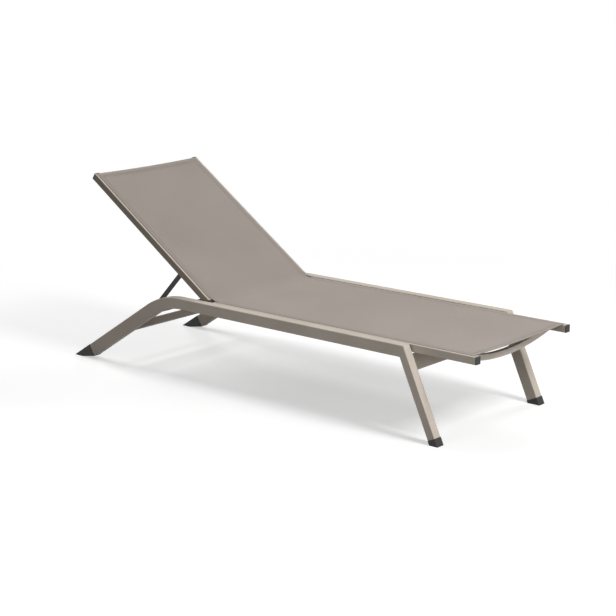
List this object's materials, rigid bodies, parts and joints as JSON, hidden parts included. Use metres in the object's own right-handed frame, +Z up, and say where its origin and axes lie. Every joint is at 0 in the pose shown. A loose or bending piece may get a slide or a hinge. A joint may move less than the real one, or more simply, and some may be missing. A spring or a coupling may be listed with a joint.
{
  "type": "adjustable sun lounger",
  "caption": "Low sun lounger with a mesh sling on a tubular metal frame, arched rear legs, raked front legs and a backrest that a folding prop holds in notched racks.",
  "frame": {"origin": "on the floor, in the middle of the length and the width", "axes": "+X to the foot end, +Y to the left of someone lying on it, +Z up"},
  "size_m": [2, 0.652, 0.7613],
  "materials": {
    "frame_metal": "satin powder coat, warm taupe",
    "dark_metal": "satin, near black",
    "steel": "satin, blackened zinc",
    "black_plastic": "matt, fine grain",
    "mesh": "coated open weave"
  },
  "bodies": {
    "frame": {"rear_crossbar": "frame_metal", "front_crossbar": "frame_metal", "front_bow_bar": "frame_metal", "seat_spreader_1": "frame_metal", "seat_spreader_2": "frame_metal", "seat_spreader_3": "frame_metal", "hinge_bolts": "steel", "frame_spacers": "black_plastic", "frame_bolts": "steel", "rack_screws": "steel", "sling_seat": "mesh", "seat_welts": "black_plastic", "side_frame_right": "frame_metal", "front_leg_right": "frame_metal", "rear_foot_cap_right": "black_plastic", "front_foot_cap_right": "black_plastic", "seat_rail_right": "frame_metal", "seat_end_cap_right": "black_plastic", "hinge_plates_right": "dark_metal", "hinge_pin_right": "steel", "rack_right": "black_plastic", "side_frame_left": "frame_metal", "front_leg_left": "frame_metal", "rear_foot_cap_left": "black_plastic", "front_foot_cap_left": "black_plastic", "seat_rail_left": "frame_metal", "seat_end_cap_left": "black_plastic", "hinge_plates_left": "dark_metal", "hinge_pin_left": "steel", "rack_left": "black_plastic"},
    "backrest": {"head_bow_bar": "frame_metal", "back_spreader_1": "frame_metal", "back_spreader_2": "frame_metal", "lug_rivets": "steel", "sling_back": "mesh", "back_welts": "black_plastic", "back_rail_right": "frame_metal", "back_end_cap_right": "black_plastic", "hinge_knuckle_right": "black_plastic", "prop_lug_right": "dark_metal", "back_rail_left": "frame_metal", "back_end_cap_left": "black_plastic", "hinge_knuckle_left": "black_plastic", "prop_lug_left": "dark_metal"},
    "prop": {"prop_foot_bar": "dark_metal", "prop_foot_sleeves": "black_plastic", "prop_pins": "steel", "prop_arm_right": "dark_metal", "prop_arm_left": "dark_metal"}
  },
  "joints": [
    {"name": "recline", "type": "hinge", "parent": "frame", "child": "backrest", "pos_m": [-0.243, 0, 0.31525], "axis": [0, 1, 0], "range_deg": [-34.2, 39.5]},
    {"name": "prop_swing", "type": "hinge", "parent": "backrest", "child": "prop", "pos_m": [-0.42439, 0, 0.4095], "axis": [0, 1, 0], "range_deg": [-48, 42]}
  ],
  "couplings": [
    {"joint": "prop_swing", "follows": "recline", "ratio": -1.2}
  ]
}
